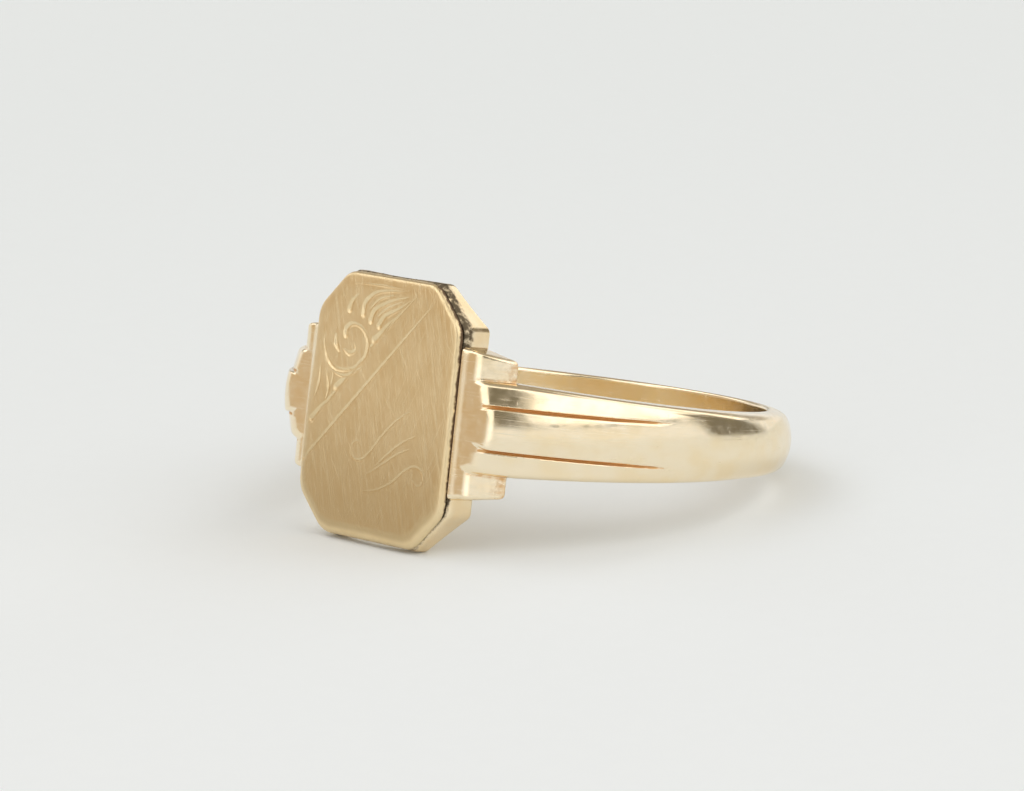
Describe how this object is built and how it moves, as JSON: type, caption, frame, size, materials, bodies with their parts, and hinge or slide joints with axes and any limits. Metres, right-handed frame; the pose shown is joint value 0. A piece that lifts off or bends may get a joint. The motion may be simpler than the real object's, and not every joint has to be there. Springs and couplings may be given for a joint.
{
  "type": "signet ring",
  "caption": "Gold signet ring with a cut-corner engraved table, stepped and reeded shoulders and a plain half-round shank.",
  "frame": {"origin": "centre of the finger hole, at mid height of the band", "axes": "+Z along the finger hole, -Y out of the front of the signet table, +X to the right when the table is seen from the front"},
  "size_m": [0.0224, 0.0207, 0.0116],
  "materials": {
    "table_gold": "worn polish with fine scratches, yellow gold",
    "head_gold": "polished yellow gold",
    "band_gold": "polished yellow gold",
    "table_solder": "dull, dirt-filled solder seam",
    "solder_film": "satin gold solder"
  },
  "bodies": {
    "root": {"signet_table": "table_gold", "table_solder": "table_solder", "head_block": "head_gold", "shoulder_right": "band_gold", "shoulder_left": "band_gold", "shoulder_solder_right": "solder_film", "shoulder_solder_left": "solder_film", "shank": "band_gold", "shank_solder_right": "solder_film", "shank_solder_left": "solder_film"}
  },
  "joints": []
}
